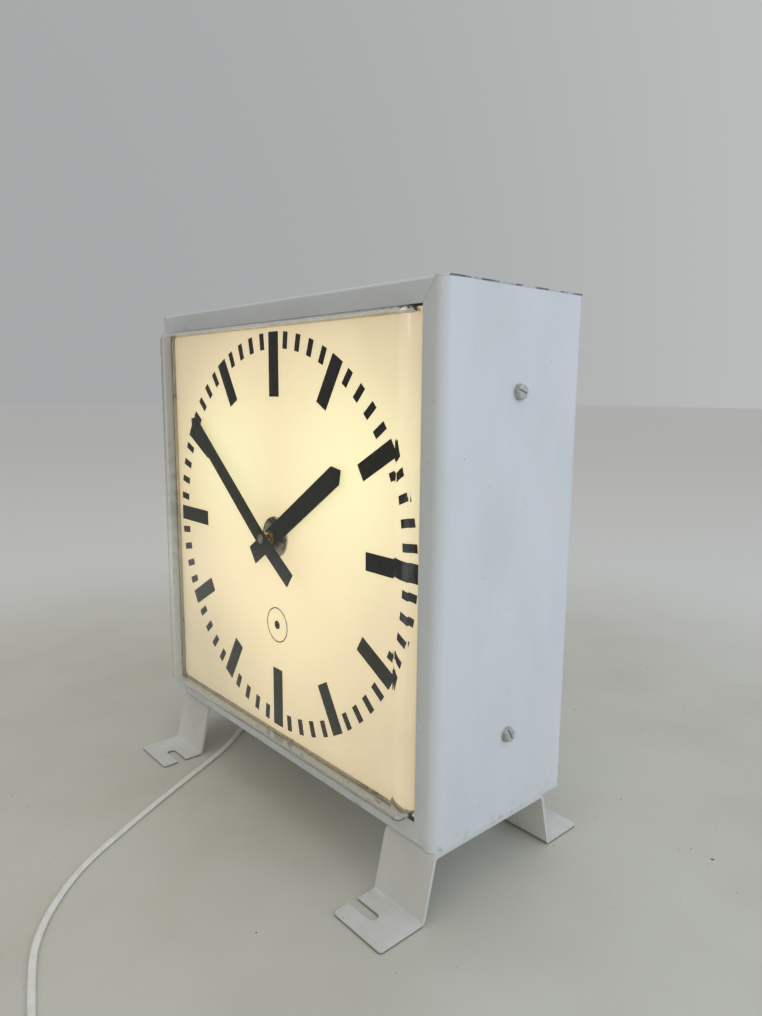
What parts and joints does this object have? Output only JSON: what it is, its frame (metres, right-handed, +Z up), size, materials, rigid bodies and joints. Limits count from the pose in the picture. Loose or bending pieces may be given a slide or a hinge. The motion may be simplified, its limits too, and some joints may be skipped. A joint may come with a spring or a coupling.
{
  "type": "illuminated advertising wall clock",
  "caption": "Square back-lit slave clock in a white sheet-steel case on two strap feet, with bar markers, bar hands, a clear front cover and a mains cord.",
  "frame": {"origin": "on the surface the feet rest on, midway between the feet and midway between their front and back ends", "axes": "+X to the right seen from the front, +Y from the dial towards the back, +Z up"},
  "size_m": [0.438, 0.5501, 0.45],
  "materials": {
    "case_enamel": "satin",
    "clear_cover": "clear",
    "opal_dial": "satin",
    "dial_black": "matte",
    "hand_black": "matte",
    "zinc_steel": "satin",
    "nickel": "satin",
    "gasket_rubber": "matte",
    "movement_brass": "satin",
    "magnet_iron": "matte",
    "lamination_steel": "satin",
    "coil_winding": "satin",
    "lamp_glass": "frosted",
    "holder_white": "gloss",
    "wire_sheath": "satin",
    "gland_grey": "satin",
    "cord_white": "gloss",
    "tie_black": "matte",
    "pin_brass": "polished"
  },
  "bodies": {
    "case": {"bottom_panel": "case_enamel", "bulbs": "lamp_glass", "cable_gland": "gland_grey", "chassis_plate": "case_enamel", "clip_nuts": "zinc_steel", "clip_studs": "zinc_steel", "cord_coil": "cord_white", "cord_tail": "cord_white", "cord_tie": "tie_black", "cover_gasket": "gasket_rubber", "dial_clips": "zinc_steel", "dial_markers": "dial_black", "dial_nut": "nickel", "dial_plate": "opal_dial", "dial_support_plate": "zinc_steel", "drive_coil": "coil_winding", "foot_bolts": "zinc_steel", "foot_left": "case_enamel", "foot_nuts": "zinc_steel", "foot_right": "case_enamel", "front_cover": "clear_cover", "gland_nut": "gland_grey", "inner_wires": "wire_sheath", "lamp_shelf": "case_enamel", "lampholders": "holder_white", "mains_cord": "cord_white", "mounting_posts": "zinc_steel", "movement_back_plate": "movement_brass", "movement_front_plate": "movement_brass", "plate_pillars": "zinc_steel", "plug_body": "cord_white", "plug_pins": "pin_brass", "rear_cover": "case_enamel", "rear_cover_screws": "zinc_steel", "rotor_bridge": "movement_brass", "side_nuts": "zinc_steel", "side_panel_left": "case_enamel", "side_panel_right": "case_enamel", "side_screws": "zinc_steel", "side_washers": "zinc_steel", "stator": "lamination_steel", "strain_relief": "gland_grey", "support_pillars": "zinc_steel", "terminal_block": "holder_white", "terminal_screws": "movement_brass", "top_panel": "case_enamel"},
    "minute": {"centre_arbor": "zinc_steel", "centre_wheel": "movement_brass", "cannon_pinion": "movement_brass", "minute_collet": "movement_brass", "minute_hand": "hand_black", "hand_nut": "nickel"},
    "hour": {"hour_wheel": "movement_brass", "hour_collet": "movement_brass", "hour_hand": "hand_black"},
    "motion": {"motion_wheel": "movement_brass"},
    "train": {"train_wheel": "movement_brass", "train_arbor": "zinc_steel"},
    "rotor": {"rotor_arbor": "zinc_steel", "rotor_magnet": "magnet_iron"}
  },
  "joints": [
    {"name": "minute_hand_turn", "type": "hinge", "parent": "case", "child": "minute", "pos_m": [0, 0, 0.25], "axis": [0, 1, 0], "continuous": true},
    {"name": "hour_hand_turn", "type": "hinge", "parent": "case", "child": "hour", "pos_m": [0, 0, 0.25], "axis": [0, 1, 0], "continuous": true},
    {"name": "motion_wheel_turn", "type": "hinge", "parent": "case", "child": "motion", "pos_m": [0, 0, 0.226], "axis": [0, 1, 0], "continuous": true},
    {"name": "train_wheel_turn", "type": "hinge", "parent": "case", "child": "train", "pos_m": [0, 0, 0.2788], "axis": [0, 1, 0], "continuous": true},
    {"name": "rotor_turn", "type": "hinge", "parent": "case", "child": "rotor", "pos_m": [-0.0245, 0, 0.2788], "axis": [0, 1, 0], "continuous": true}
  ],
  "couplings": [
    {"joint": "hour_hand_turn", "follows": "minute_hand_turn", "ratio": 0.083333},
    {"joint": "motion_wheel_turn", "follows": "minute_hand_turn", "ratio": -0.33333},
    {"joint": "train_wheel_turn", "follows": "minute_hand_turn", "ratio": -5},
    {"joint": "rotor_turn", "follows": "minute_hand_turn", "ratio": 30}
  ]
}
